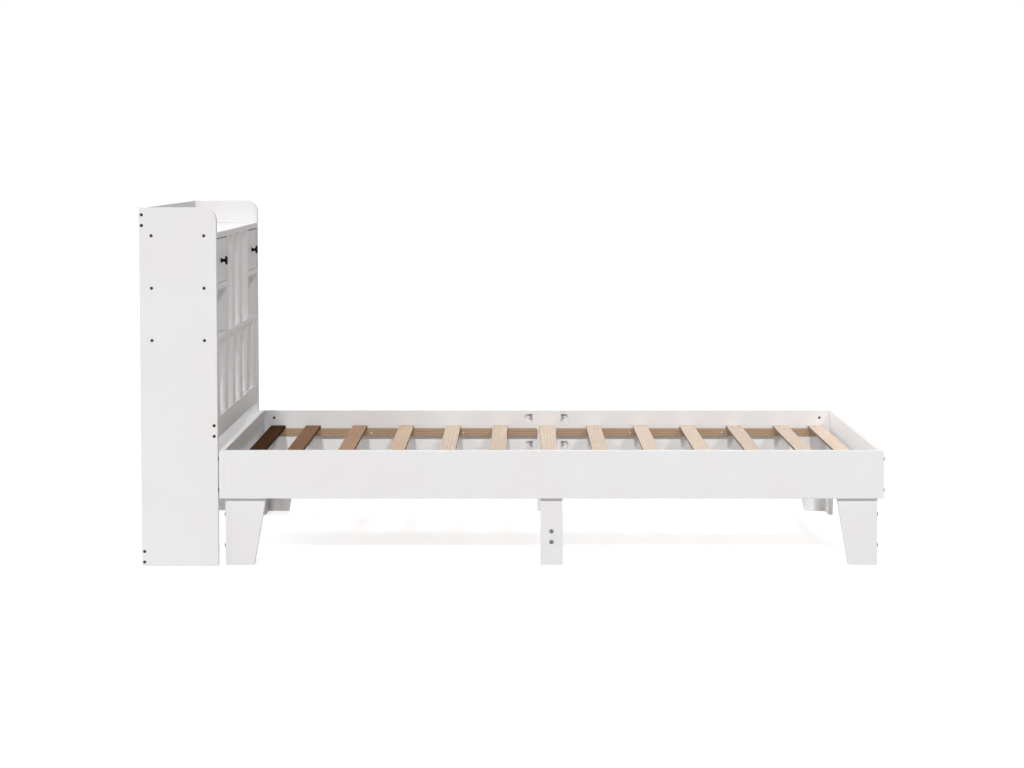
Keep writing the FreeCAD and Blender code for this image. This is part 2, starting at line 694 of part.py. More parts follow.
def screw_spots():
    """Every screw of a headboard side, as X and Z."""
    spots = []
    for underside in (TOP_SHELF, DRAWER_SHELF, LOWER_SHELF):
        for line in shelf_screw_lines():
            spots.append((line, f"({underside} + board / 2)"))
    lip_middle = f"({TOP_SHELF_TOP} + lip_height / 2)"
    for sign in (-1, 1):
        spots.append((f"({BACK} + board / 2)", shift(sign, "rail_screw_gap / 2", lip_middle)))
    for line, bottom in ((FRONT_LINE, "front_rail_bottom"), (f"({BACK} + board / 2)", "back_rail_bottom")):
        spots.append((line, f"({bottom} + rail_screw_low)"))
        spots.append((line, f"({bottom} + rail_screw_low + rail_screw_gap)"))
    return spots


def end_screw_holes(spots, sides=SIDES):
    """Holes in the ends of a board for the screws that come through the headboard sides."""
    tools = []
    for side_name, side in sides:
        for x, z in spots:
            start = (x, shift(side, SIDE_IN), z)
            tools.append(hole(start, heading("y", -side), "screw_r", "(screw_length - board)"))
    return tools


def mortise(middle, bottom, top):
    """A slot for a slat's stub tenon, between two heights."""
    return box(
        about(FRONT_LINE, "tenon_thick + 2 * drill_gap"),
        about(middle, "tenon_width + 2 * drill_gap"),
        (bottom, top),
    )


HB_SLAT_PITCH = f"((2 * ({SIDE_IN} - hb_slat_end_gap) - hb_slat_width) / {LOWER_SLAT_COUNT - 1})"


def slat_lines(count):
    """The middles of a row of headboard slats about the centre, at the lower row's spacing."""
    return [f"({HB_SLAT_PITCH} * {step - (count - 1) / 2})" for step in range(count)]


LOWER_SLAT_LINES = slat_lines(LOWER_SLAT_COUNT)
UPPER_SLAT_LINES = slat_lines(UPPER_SLAT_COUNT)
MORTISE = "(tenon_length + drill_gap)"


def divider_peg_holes(height, along, depth):
    """Dowel holes for both dividers, at a height and in a direction."""
    starts = [(line, shift(side, f"{DIVIDER_IN} + board / 2"), height)
              for name, side in SIDES for line in shelf_screw_lines()]
    return [hole(start, along, "peg_r", depth) for start in starts]


# Headboard: boards

def hb_side(name, side):
    """A tall side panel with a rounded top front corner and stepped screw holes."""
    corners = [("0", "0"), ("hb_depth", "0"), ("hb_depth", "hb_height"), ("0", "hb_height")]
    body, pad = plate(name, corners, "board")

    def high_front(edge):
        return edge.CenterOfMass.x + edge.CenterOfMass.z

    ease(body, dress(body, pad, "PartDesign::Fillet", high_front, 1, "Radius", "hb_round"))
    place(body, (BACK, shift(side, f"{OUTER} - board / 2"), "0"))
    inward = heading("y", -side)
    outer_face = shift(side, f"{OUTER} + overrun")
    tools = []
    for x, z in screw_spots():
        tools.append(hole((x, outer_face, z), inward, "screw_r", "(board + 2 * overrun)"))
        head_depth = "(screw_head_depth + overrun)"
        tools.append(hole((x, outer_face, z), inward, "screw_head_r", head_depth, HEAD_FLAT_COUNT))
    return cut(body, tools)


def shelf(y, bottom, tools):
    """A headboard shelf of full depth."""
    blank = plank((BACK, SHELF_FRONT), y, (bottom, f"{bottom} + board"))
    return cut(blank, tools)


def top_shelf():
    """The shelf over the drawers, with mortises and dowel holes underneath."""
    spots = [(line, f"({TOP_SHELF} + board / 2)") for line in shelf_screw_lines()]
    tools = end_screw_holes(spots)
    tools += divider_peg_holes(TOP_SHELF, "+z", "peg_in_face")
    tools += [mortise(line, TOP_SHELF, f"{TOP_SHELF} + {MORTISE}") for line in UPPER_SLAT_LINES]
    return shelf(about("0", f"2 * {SIDE_IN}"), TOP_SHELF, tools)


def lower_shelf():
    """The shelf under the open bays, with mortises on both faces."""
    spots = [(line, f"({LOWER_SHELF} + board / 2)") for line in shelf_screw_lines()]
    tools = end_screw_holes(spots)
    tools += divider_peg_holes(LOWER_SHELF_TOP, "-z", "peg_in_face")
    tools += [mortise(line, f"{LOWER_SHELF_TOP} - {MORTISE}", LOWER_SHELF_TOP) for line in UPPER_SLAT_LINES]
    tools += [mortise(line, LOWER_SHELF, f"{LOWER_SHELF} + {MORTISE}") for line in LOWER_SLAT_LINES]
    return shelf(about("0", f"2 * {SIDE_IN}"), LOWER_SHELF, tools)


def drawer_shelf(side):
    """The short shelf that a drawer runs on."""
    spots = [(line, f"({DRAWER_SHELF} + board / 2)") for line in shelf_screw_lines()]
    tools = end_screw_holes(spots, [("", side)])
    for x, z in spots:
        tools.append(hole((x, shift(side, DIVIDER_OUT), z), heading("y", side), "peg_r", PEG_REST))
    return shelf(stretch(side, DIVIDER_OUT, SIDE_IN), DRAWER_SHELF, tools)


def divider(side):
    """An upright board between the lower shelf and the top shelf."""
    blank = plank((BACK, SHELF_FRONT), stretch(side, DIVIDER_IN, DIVIDER_OUT), (LOWER_SHELF_TOP, TOP_SHELF))
    tools = []
    for line in shelf_screw_lines():
        middle = shift(side, f"{DIVIDER_IN} + board / 2")
        tools.append(hole((line, middle, TOP_SHELF), "-z", "peg_r", PEG_REST))
        tools.append(hole((line, middle, LOWER_SHELF_TOP), "+z", "peg_r", PEG_REST))
        face = (line, shift(side, DIVIDER_OUT), f"({DRAWER_SHELF} + board / 2)")
        tools.append(hole(face, heading("y", -side), "peg_r", "peg_in_face"))
    return cut(blank, tools)


def cross_board(x, bottom, height, low_screw, tools):
    """A board across the headboard, screwed at both ends."""
    blank = plank(x, about("0", f"2 * {SIDE_IN}"), (bottom, f"{bottom} + {height}"))
    line = f"(({x[0]}) + board / 2)"
    spots = [(line, f"({bottom} + {low_screw})"), (line, f"({bottom} + {low_screw} + rail_screw_gap)")]
    return cut(blank, tools + end_screw_holes(spots))


for side_name, side in SIDES:
    keep(f"headboard_side_{side_name}", hb_side(f"headboard_side_{side_name}", side))
    keep(f"headboard_divider_{side_name}", divider(side))
    keep(f"drawer_shelf_{side_name}", drawer_shelf(side))
keep("headboard_top_shelf", top_shelf())
keep("headboard_lower_shelf", lower_shelf())

back_board = (BACK, f"{BACK} + board")
front_board = (f"{SHELF_FRONT} - board", SHELF_FRONT)
lip_screw = "((lip_height - rail_screw_gap) / 2)"
keep("headboard_top_lip", cross_board(back_board, TOP_SHELF_TOP, "lip_height", lip_screw, []))
keep("headboard_back_rail", cross_board(
    back_board, "back_rail_bottom", "back_rail_height", "rail_screw_low", []))
rail_mortises = [mortise(line, f"{FRONT_RAIL_TOP} - {MORTISE}", FRONT_RAIL_TOP) for line in LOWER_SLAT_LINES]
keep("headboard_front_rail", cross_board(
    front_board, "front_rail_bottom", "front_rail_height", "rail_screw_low", rail_mortises))


# Headboard: slats, screws, dowels and drawer stops

def hb_slat(middle, bottom, top):
    """An upright slat with a stub tenon at each end."""
    thick = about(FRONT_LINE, "hb_slat_thick")
    body = plank(thick, about(middle, "hb_slat_width"), (bottom, top))
    core = box(
        about(FRONT_LINE, "tenon_thick"),
        about(middle, "tenon_width"),
        (f"({bottom} - tenon_length)", f"({top} + tenon_length)"),
    )
    return fuse([body, core])


def carcass_screw(x, side, z):
    """A screw whose head lies flush in a headboard side."""
    start = (x, shift(side, f"{OUTER} - screw_head_depth"), z)
    shank = "screw_length - screw_head_depth"
    return headed(start, heading("y", -side), "screw_r", shank, "screw_head_r", "screw_head_depth")


def hb_pegs():
    """The wooden dowels that join the dividers and the drawer shelves."""
    pegs = []
    for side_name, side in SIDES:
        for line in shelf_screw_lines():
            middle = shift(side, f"{DIVIDER_IN} + board / 2")
            high = f"{TOP_SHELF} - {PEG_REST}"
            pegs.append(peg((line, middle, high), "+z"))
            low = f"{LOWER_SHELF_TOP} - peg_in_face"
            pegs.append(peg((line, middle, low), "+z"))
            start = (line, shift(side, f"{DIVIDER_OUT} - peg_in_face"), f"({DRAWER_SHELF} + board / 2)")
            pegs.append(peg(start, heading("y", side)))
    return pegs


keep("headboard_lower_slats", group([hb_slat(line, FRONT_RAIL_TOP, LOWER_SHELF) for line in LOWER_SLAT_LINES]))
keep("headboard_upper_slats", group([hb_slat(line, LOWER_SHELF_TOP, TOP_SHELF) for line in UPPER_SLAT_LINES]))
keep("headboard_screws", group([carcass_screw(x, side, z) for name, side in SIDES for x, z in screw_spots()]))
keep("wood_dowels", group(leg_pegs + hb_pegs()))

stop_front = f"{BACK} + stop_depth"
stop_height = (DRAWER_SHELF_TOP, f"{DRAWER_SHELF_TOP} + stop_height")
keep("drawer_stops", group(
    [box((BACK, stop_front), stretch(side, DIVIDER_OUT, SIDE_IN), stop_height) for name, side in SIDES]))


# Drawers

BOX_BACK = f"({stop_front} + drawer_run_gap)"
FRONT_FACE = f"({HB_FRONT} - drawer_setback)"
FRONT_BACK = f"({FRONT_FACE} - drawer_front_thick)"
BOX_IN = f"({DIVIDER_OUT} + drawer_side_gap)"
BOX_OUT = f"({SIDE_IN} - drawer_side_gap)"
BOX_BOTTOM = f"({DRAWER_SHELF_TOP} + drawer_run_gap)"
BOX_TOP = f"({BOX_BOTTOM} + drawer_side_height)"
GROOVE = f"({BOX_BOTTOM} + drawer_floor_lift)"
GROOVE_TOP = f"({GROOVE} + drawer_floor_thick + 2 * drill_gap)"
FACE_BOTTOM = f"({DRAWER_SHELF_TOP} + drawer_foot_gap)"
FACE_TOP = f"({TOP_SHELF} - drawer_top_gap)"
KNOB_HEIGHT = f"(({FACE_BOTTOM} + {FACE_TOP}) / 2)"
KNOB_LINE = f"(({BOX_IN} + {BOX_OUT}) / 2)"


def drawer_groove(side):
    """The space that the drawer bottom slides into, as a tool for the front and the sides."""
    return box(
        (f"{BOX_BACK} - overrun", f"{FRONT_BACK} + groove_depth"),
        stretch(side, f"{BOX_IN} + drawer_wall - groove_depth", f"{BOX_OUT} - drawer_wall + groove_depth"),
        (GROOVE, GROOVE_TOP),
    )


def drawer_front(side):
    """A flat drawer front, grooved for the bottom and drilled for the knob's screw."""
    blank = plank((FRONT_BACK, FRONT_FACE), stretch(side, BOX_IN, BOX_OUT), (FACE_BOTTOM, FACE_TOP))
    start = (f"{FRONT_BACK} - overrun", shift(side, KNOB_LINE), KNOB_HEIGHT)
    bore = hole(start, "+x", "knob_screw_r", "(drawer_front_thick + 2 * overrun)")
    return cut(blank, [bore, drawer_groove(side)])


def drawer_side(side, near, far):
    """A drawer's side wall, grooved for the bottom."""
    blank = box((BOX_BACK, FRONT_BACK), stretch(side, near, far), (BOX_BOTTOM, BOX_TOP))
    return cut(blank, [drawer_groove(side)])


def drawer_back(side):
    """A drawer's back wall, which stands on the bottom between the sides."""
    return box(
        (BOX_BACK, f"{BOX_BACK} + drawer_wall"),
        stretch(side, f"{BOX_IN} + drawer_wall", f"{BOX_OUT} - drawer_wall"),
        (GROOVE_TOP, BOX_TOP),
    )


def drawer_bottom(side):
    """A thin drawer bottom in the grooves of the front and the sides."""
    reach = "drawer_wall - groove_depth + drill_gap"
    return box(
        (BOX_BACK, f"{FRONT_BACK} + groove_depth - drill_gap"),
        stretch(side, f"{BOX_IN} + {reach}", f"{BOX_OUT} - ({reach})"),
        (f"{GROOVE} + drill_gap", f"{GROOVE} + drill_gap + drawer_floor_thick"),
    )


def knob(name, side):
    """A turned knob, waisted between its base and its bevelled cap, drilled for its screw."""
    body = doc.addObject("PartDesign::Body", name + "_body")
    turned = body.newObject("PartDesign::Revolution", "turned")
    cap_back = "knob_reach - knob_cap_thick"
    turned.Profile = outline(body, [
        ("0", "0"),
        ("knob_base_r", "0"),
        ("knob_neck_r", "knob_waist"),
        ("knob_cap_r", cap_back),
        ("knob_cap_r", "knob_reach"),
        ("0", "knob_reach"),
    ])
    turned.ReferenceAxis = (origin_feature(body, "Z_Axis"), [""])
    turned.Angle = 360

    def high_rim(edge):
        return edge.BoundBox.XLength + edge.CenterOfMass.z if edge.Closed else 0

    body.Tip = dress(body, turned, "PartDesign::Chamfer", high_rim, 1, "Size", "knob_cap_bevel")
    body.Placement.Rotation = TURNS["+x"]
    place(body, (FRONT_FACE, shift(side, KNOB_LINE), KNOB_HEIGHT))
    start = (f"{FRONT_FACE} - overrun", shift(side, KNOB_LINE), KNOB_HEIGHT)
    return cut(body, [hole(start, "+x", "knob_screw_r", "(knob_screw_grip + overrun)")])


def knob_screw(side):
    """A screw through the drawer front into the knob, with its head inside the drawer."""
    start = (FRONT_BACK, shift(side, KNOB_LINE), KNOB_HEIGHT)
    length = "drawer_front_thick + knob_screw_grip"
    return headed(start, "+x", "knob_screw_r", length, "knob_screw_head_r", "knob_screw_head")


for side_name, side in SIDES:
    drawer = f"drawer_{side_name}"
    keep(f"{drawer}_front", drawer_front(side))
    keep(f"{drawer}_inner_side", drawer_side(side, BOX_IN, f"{BOX_IN} + drawer_wall"))
    keep(f"{drawer}_outer_side", drawer_side(side, f"{BOX_OUT} - drawer_wall", BOX_OUT))
    keep(f"{drawer}_back", drawer_back(side))
    keep(f"{drawer}_bottom", drawer_bottom(side))
    keep(f"{drawer}_knob", knob(f"{drawer}_knob", side))
    keep(f"{drawer}_knob_screw", knob_screw(side))


# Build, test and write every sub-part

doc.recompute()
for thing in doc.Objects:
    if {"Invalid", "Error"} & set(thing.State):
        raise RuntimeError(f"{thing.Label} failed: {thing.State}")
for name, thing in parts.items():
    if thing.Shape.isNull() or not thing.Shape.isValid() or not thing.Shape.Solids:
        raise RuntimeError(f"{name} has no valid solid")

os.makedirs("parts", exist_ok=True)
for name, thing in parts.items():
    thing.Shape.exportStep(f"parts/{name}.step")
    print(f"{name}: {len(thing.Shape.Solids)} solids, {thing.Shape.Volume / 1000:.1f} cm3")
whole = FreeCAD.BoundBox()
for thing in parts.values():
    whole.add(thing.Shape.BoundBox)
print(f"{len(parts)} sub-parts in {whole}")
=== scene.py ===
# %% [markdown]
# White bed frame with a bookcase headboard.
# The boards, joints and fasteners were measured and drilled in CAD, and they arrive here as a fixed
# frame. This lesson gives every board its finish, turns the small hardware round, and then lights
# and photographs the bed as a furniture studio would.

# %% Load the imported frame
import json
import math

import bmesh
import bpy
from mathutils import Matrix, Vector


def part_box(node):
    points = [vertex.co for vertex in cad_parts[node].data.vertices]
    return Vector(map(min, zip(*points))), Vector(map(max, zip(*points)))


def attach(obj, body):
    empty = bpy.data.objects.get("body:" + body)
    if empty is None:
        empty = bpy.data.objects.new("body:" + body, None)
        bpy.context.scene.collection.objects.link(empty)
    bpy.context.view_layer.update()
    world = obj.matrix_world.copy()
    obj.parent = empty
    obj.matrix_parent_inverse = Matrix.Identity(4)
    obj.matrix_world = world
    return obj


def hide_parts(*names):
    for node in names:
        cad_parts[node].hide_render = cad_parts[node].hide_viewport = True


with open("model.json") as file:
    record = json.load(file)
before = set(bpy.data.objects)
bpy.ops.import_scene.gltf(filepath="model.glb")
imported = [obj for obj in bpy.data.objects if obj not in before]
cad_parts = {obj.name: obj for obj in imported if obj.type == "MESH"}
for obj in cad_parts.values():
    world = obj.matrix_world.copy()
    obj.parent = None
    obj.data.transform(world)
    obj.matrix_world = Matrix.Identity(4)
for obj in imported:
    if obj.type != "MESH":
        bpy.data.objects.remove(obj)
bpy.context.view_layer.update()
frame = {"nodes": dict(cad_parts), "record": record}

nodes = frame["nodes"]

# %% [markdown]
# Colours are written as sRGB hex values, the way a paint chart gives them, and Blender's shaders
# work in linear light. One function turns the first into the second. Node materials can be built
# by hand in the editor, but in a script a single helper that adds a node, sets it and links it
# keeps each finish short enough to read as a recipe.

# %% Colour and node helpers
MM = 0.001


def linear(hex_code):
    """An sRGB hex value as a linear colour with alpha."""
    parts = [int(hex_code[i:i + 2], 16) / 255 for i in (1, 3, 5)]
    return [c / 12.92 if c <= 0.04045 else ((c + 0.055) / 1.055) ** 2.4 for c in parts] + [1.0]


def add(tree, kind, inputs=None, stops=(), **settings):
    """Add a node with its settings, give its inputs values or links, and a colour ramp its stops."""
    made = tree.nodes.new(kind)
    for name, value in settings.items():
        setattr(made, name, value)
    for socket, value in (inputs or {}).items():
        if isinstance(value, bpy.types.NodeSocket):
            tree.links.new(value, made.inputs[socket])
        else:
            made.inputs[socket].default_value = value
    for count, (place, hex_code) in enumerate(stops):
        colours = made.color_ramp.elements
        stop = colours[count] if count < len(colours) else colours.new(place)
        stop.position, stop.color = place, linear(hex_code)
    return made


def new_material(name):
    """An empty material with a Principled shader on its output."""
    material = bpy.data.materials.new(name)
    material.use_nodes = True
    material.node_tree.nodes.clear()
    shader = add(material.node_tree, "ShaderNodeBsdfPrincipled")
    add(material.node_tree, "ShaderNodeOutputMaterial", {"Surface": shader.outputs[0]})
    return material, material.node_tree, shader


AXES = "xyz"


def stretched(grain, across, along):
    """Texture scales for a pattern so wide across the grain, and so long along it, in millimetres."""
    scales = [1 / (across * MM)] * 3
    scales[AXES.index(grain)] = 1 / (along * MM)
    return scales


print("white paint in linear light:", [round(c, 3) for c in linear("#EFEFEF")])

# %% [markdown]
# The boards are solid pine under white paint. Sprayed furniture paint is satin: it softens
# reflections, and it fills most of the grain but not all. Seen close, long shallow ridges follow
# the grain, large patches are a little warmer or cooler where the wood drank more or less paint,
# and a few knots ghost through. An image texture would be the quick way, but noise that is
# stretched along the grain gives each board its own surface, and it never repeats.

# %% White paint over pine
# Lengths are in millimetres, a ridge's across and along the grain. A knot's rim and heart are shares
# of the spacing.
PAINT_PATCH = 210
PAINT_RIDGE = (2.6, 90)
PAINT_RELIEF = 0.4
PAINT_TINTS = ("#EFEFEF", "#EFECEC")
KNOT_SPACING = 260
KNOT_RIM, KNOT_HEART = 0.07, 0.02
KNOT_SHOWS = 0.3
KNOT_TINT = "#CFC6BD"


def painted_pine(grain):
    """Satin white paint on a pine board whose grain runs along an axis."""
    material, tree, shader = new_material(f"white_painted_pine_{grain}")
    place = add(tree, "ShaderNodeTexCoord").outputs["Object"]
    along = add(tree, "ShaderNodeMapping", {"Vector": place, "Scale": stretched(grain, *PAINT_RIDGE)})
    ridges = add(tree, "ShaderNodeTexNoise", {"Vector": along.outputs[0], "Scale": 1.0, "Detail": 3.0})
    patches = add(tree, "ShaderNodeTexNoise", {
        "Vector": place, "Scale": 1 / (PAINT_PATCH * MM), "Detail": 2.0})
    patch = add(tree, "ShaderNodeMapRange", {
        "Value": patches.outputs[0], "From Min": 0.38, "From Max": 0.62})
    knot_place = add(tree, "ShaderNodeMapping", {
        "Vector": place, "Scale": stretched(grain, KNOT_SPACING, 1.5 * KNOT_SPACING)})
    cells = add(tree, "ShaderNodeTexVoronoi", {"Vector": knot_place.outputs[0], "Scale": 1.0})
    knot = add(tree, "ShaderNodeMapRange", {
        "Value": cells.outputs["Distance"], "From Min": KNOT_RIM, "From Max": KNOT_HEART,
    }, interpolation_type="SMOOTHSTEP")
    tint = add(tree, "ShaderNodeMix", {
        "Factor": patch.outputs[0], 6: linear(PAINT_TINTS[0]), 7: linear(PAINT_TINTS[1]),
    }, data_type="RGBA")
    ghost = add(tree, "ShaderNodeMath", {0: knot.outputs[0], 1: KNOT_SHOWS}, operation="MULTIPLY")
    colour = add(tree, "ShaderNodeMix", {
        "Factor": ghost.outputs[0], 6: tint.outputs[2], 7: linear(KNOT_TINT)}, data_type="RGBA")
    gloss = add(tree, "ShaderNodeMapRange", {"Value": ridges.outputs[0], "To Min": 0.5, "To Max": 0.62})
    relief = add(tree, "ShaderNodeBump", {
        "Height": ridges.outputs[0], "Strength": 0.12, "Distance": PAINT_RELIEF * MM})
    tree.links.new(colour.outputs[2], shader.inputs["Base Color"])
    tree.links.new(gloss.outputs[0], shader.inputs["Roughness"])
    tree.links.new(relief.outputs[0], shader.inputs["Normal"])
    shader.inputs["IOR"].default_value = 1.5
    return material


paint = {grain: painted_pine(grain) for grain in AXES}
print("painted finishes:", sorted(m.name for m in paint.values()))

# %% [markdown]
# The thirteen bed slats are one node here, yet every slat comes from another plank, so no two have
# the same rings or the same tone. To tell them apart, the node's triangles are joined and walked
# from neighbour to neighbour, which gives each slat's place. A slat's number then follows from
# where it lies along the bed.

# %% Find the slats in their node
WELD = 0.001


def solids(name):
    """The corner points of each separate solid of a CAD node."""
    bm = bmesh.new()
    bm.from_mesh(nodes[name].data)
    bmesh.ops.remove_doubles(bm, verts=bm.verts, dist=WELD * MM)
    left, found = set(bm.verts), []
    while left:
        to_visit, points = [left.pop()], []
        while to_visit:
            vert = to_visit.pop()
            points.append(vert.co.copy())
            for edge in vert.link_edges:
                other = edge.other_vert(vert)
                if other in left:
                    left.remove(other)
                    to_visit.append(other)
        found.append(points)
    bm.free()
    return found


slat_lines = sorted(
    sum(point.x for point in points) / len(points) for points in solids("bed_slats"))
middle_slat = len(slat_lines) // 2
slat_middle = slat_lines[middle_slat]
slat_pitch = slat_lines[middle_slat + 1] - slat_middle
print(len(slat_lines), "slats,", round(slat_pitch / MM, 1), "mm apart in the middle of the bed")

# %% [markdown]
# The slats are left bare. Bare pine shows its growth rings as bands of pale early wood and darker
# late wood, a few millimetres apart, with fine fibres between. A picture of a plank would repeat on
# every slat, so rings that are drawn out along the grain make the bands here. A slat's number shifts
# its rings and picks its tone: towards the headboard the tone gets darker, which is painted shade of
# the headboard. The sides are darker than the top faces, which is painted shade too, and nothing shines.

# %% Bare pine for the slats
# Lengths are in millimetres, a fibre's across and along the grain. Only the shift of a plank's rings
# is in metres.
RING = 7.0
RING_TO_WAVE = 2 * math.pi / 20
RING_SHOWS = 0.35
DRAWN_OUT = 0.06
FIBRE = (2.0, 70)
FIBRE_RELIEF = 0.3
PLANK_SHIFT = (0.3, 2.0, 0.05)
# The tones darken towards the headboard: painted shade of the headboard over the slats nearest it.
HEADBOARD_SHADE_TONES = ("#452A10", "#98735D", "#C8A48D", "#EED4BC", "#F2E1CE")
PALE_PINE = "#EAD8C9"
LATE_WOOD = "#D9C3AE"
# Painted shade on the slats' sides: faces that stand upright are darker than the tops.
SIDE_SHADE = 0.35


def slat_pine():
    """Bare planed pine with other rings and tone on each slat, painted shade near the headboard and on
    the sides.
    """
    material, tree, shader = new_material("bare_pine_slats")
    place = add(tree, "ShaderNodeTexCoord").outputs["Object"]
    at = add(tree, "ShaderNodeSeparateXYZ", {0: place})
    number = add(tree, "ShaderNodeMath", {
        0: at.outputs[0], 1: 1 / slat_pitch, 2: 0.5 - slat_middle / slat_pitch}, operation="MULTIPLY_ADD")
    whole = add(tree, "ShaderNodeMath", {0: number.outputs[0]}, operation="FLOOR")
    chance = add(tree, "ShaderNodeTexWhiteNoise", {"W": whole.outputs[0]}, noise_dimensions="1D")
    shifted = add(tree, "ShaderNodeVectorMath", {
        0: chance.outputs["Color"], 1: PLANK_SHIFT, 2: place}, operation="MULTIPLY_ADD")
    drawn = add(tree, "ShaderNodeMapping", {
        "Vector": shifted.outputs[0], "Scale": (1.0, DRAWN_OUT, 1.0)})
    rings = add(tree, "ShaderNodeTexWave", {
        "Vector": drawn.outputs[0], "Scale": RING_TO_WAVE / (RING * MM), "Distortion": 3.0,
        "Detail": 2.0, "Detail Scale": 0.4}, wave_type="RINGS", rings_direction="Y", wave_profile="SAW")
    fibre_place = add(tree, "ShaderNodeMapping", {"Vector": place, "Scale": stretched("y", *FIBRE)})
    fibres = add(tree, "ShaderNodeTexNoise", {
        "Vector": fibre_place.outputs[0], "Scale": 1.0, "Detail": 4.0})
    last = len(slat_lines) - 1
    share = add(tree, "ShaderNodeMapRange", {
        "Value": whole.outputs[0], "From Min": -last / 2, "From Max": last / 2})
    # Painted shade: the tone darkens the nearer a slat lies to the headboard.
    tones = [(slat / last, hex_code) for slat, hex_code in enumerate(HEADBOARD_SHADE_TONES)]
    tone = add(tree, "ShaderNodeValToRGB", {0: share.outputs[0]}, stops=tones + [(1.0, PALE_PINE)])
    late = add(tree, "ShaderNodeMix", {
        "Factor": 1.0, 6: tone.outputs[0], 7: linear(LATE_WOOD)}, data_type="RGBA", blend_type="MULTIPLY")
    band = add(tree, "ShaderNodeMath", {0: rings.outputs["Fac"], 1: RING_SHOWS}, operation="MULTIPLY")
    grain = add(tree, "ShaderNodeMix", {
        "Factor": band.outputs[0], 6: tone.outputs[0], 7: late.outputs[2]}, data_type="RGBA")
    fleck = add(tree, "ShaderNodeMapRange", {
        "Value": fibres.outputs[0], "From Min": 0.3, "From Max": 0.7, "To Min": 0.86, "To Max": 1.1})
    own = add(tree, "ShaderNodeMapRange", {
        "Value": chance.outputs["Value"], "To Min": 0.96, "To Max": 1.03})
    face = add(tree, "ShaderNodeMath", {0: fleck.outputs[0], 1: own.outputs[0]}, operation="MULTIPLY")
    normal = add(tree, "ShaderNodeTexCoord").outputs["Normal"]
    facing = add(tree, "ShaderNodeSeparateXYZ", {0: normal})
    upward = add(tree, "ShaderNodeMath", {0: facing.outputs[2]}, operation="ABSOLUTE")
    # Painted shade: the more a face stands upright, the darker it gets.
    side_shade = add(tree, "ShaderNodeMapRange", {
        "Value": upward.outputs[0], "From Min": 0.3, "From Max": 0.8, "To Min": SIDE_SHADE, "To Max": 1.0})
    value = add(tree, "ShaderNodeMath", {0: face.outputs[0], 1: side_shade.outputs[0]}, operation="MULTIPLY")
    colour = add(tree, "ShaderNodeHueSaturation", {
        "Color": grain.outputs[2], "Value": value.outputs[0]})
    relief = add(tree, "ShaderNodeBump", {
        "Height": fibres.outputs[0], "Strength": 0.2, "Distance": FIBRE_RELIEF * MM})
    tree.links.new(colour.outputs[0], shader.inputs["Base Color"])
    tree.links.new(relief.outputs[0], shader.inputs["Normal"])
    shader.inputs["Roughness"].default_value = 0.85
    shader.inputs["IOR"].default_value = 1.5
    shader.inputs["Specular IOR Level"].default_value = 0.03
    return material


slat_wood = slat_pine()
print(slat_wood.name, "with", len(HEADBOARD_SHADE_TONES), "tones from the headboard on, then", PALE_PINE)

# %% [markdown]
# The ledgers and the drawer boxes are the same bare wood, sawn and planed in the factory but never
# on show, so they are plainer. One recipe serves both: pale and dark wood, ring spacing and grain
# direction are all it needs. The ledgers look redder because they lie in the slats' shade.

# %% Bare pine for ledgers and drawer boxes
PLAIN_DRAWN_OUT = 0.05
PLAIN_FIBRE = (1.5, 60)


def plain_pine(name, pale, dark, grain, ring):
    """Bare pine with straight rings along the grain."""
    material, tree, shader = new_material(f"{name}_{grain}")
    place = add(tree, "ShaderNodeTexCoord").outputs["Object"]
    scales = [1.0, 1.0, 1.0]
    scales[AXES.index(grain)] = PLAIN_DRAWN_OUT
    drawn = add(tree, "ShaderNodeMapping", {"Vector": place, "Scale": scales})
    rings = add(tree, "ShaderNodeTexWave", {
        "Vector": drawn.outputs[0], "Scale": RING_TO_WAVE / (ring * MM), "Distortion": 4.0,
        "Detail": 2.0, "Detail Scale": 0.5}, wave_type="RINGS", rings_direction=grain.upper())
    fibre_place = add(tree, "ShaderNodeMapping", {
        "Vector": place, "Scale": stretched(grain, *PLAIN_FIBRE)})
    fibres = add(tree, "ShaderNodeTexNoise", {
        "Vector": fibre_place.outputs[0], "Scale": 1.0, "Detail": 4.0})
    blend = add(tree, "ShaderNodeMath", {
        0: rings.outputs["Fac"], 1: fibres.outputs[0]}, operation="MULTIPLY")
    colour = add(tree, "ShaderNodeValToRGB", {0: blend.outputs[0]}, stops=((0.1, pale), (0.8, dark)))
    relief = add(tree, "ShaderNodeBump", {
        "Height": fibres.outputs[0], "Strength": 0.2, "Distance": FIBRE_RELIEF * MM})
    tree.links.new(colour.outputs[0], shader.inputs["Base Color"])
    tree.links.new(relief.outputs[0], shader.inputs["Normal"])
    shader.inputs["Roughness"].default_value = 0.85
    shader.inputs["IOR"].default_value = 1.5
    return material


ledger_wood = plain_pine("bare_pine_ledgers", "#B4987C", "#96785B", "x", 5.0)
drawer_wood = {
    grain: plain_pine("bare_pine_drawers", "#DCC8B0", "#BE9F80", grain, 6.0) for grain in AXES}
print("bare finishes:", ledger_wood.name, sorted(m.name for m in drawer_wood.values()))

# %% [markdown]
# Three metals are on show. The joint's rods, plates and nuts are zinc plated: a grey, slightly
# cloudy shine. Bolts and cross nuts have a duller, darker plating. The screws in the headboard's
# sides are blackened steel, which reads as dark dots. The knobs are cast and lacquered black, with
# the faint orange peel of a sprayed coat. Metal is metallic 1 with its colour in the reflection,
# lacquer is a dark dielectric with a weak one.

# %% Plated steel, blackened steel and black lacquer
PLATING_CLOUD = 3.0
PLATING_RELIEF = 0.1
LACQUER_PEEL = 1.2


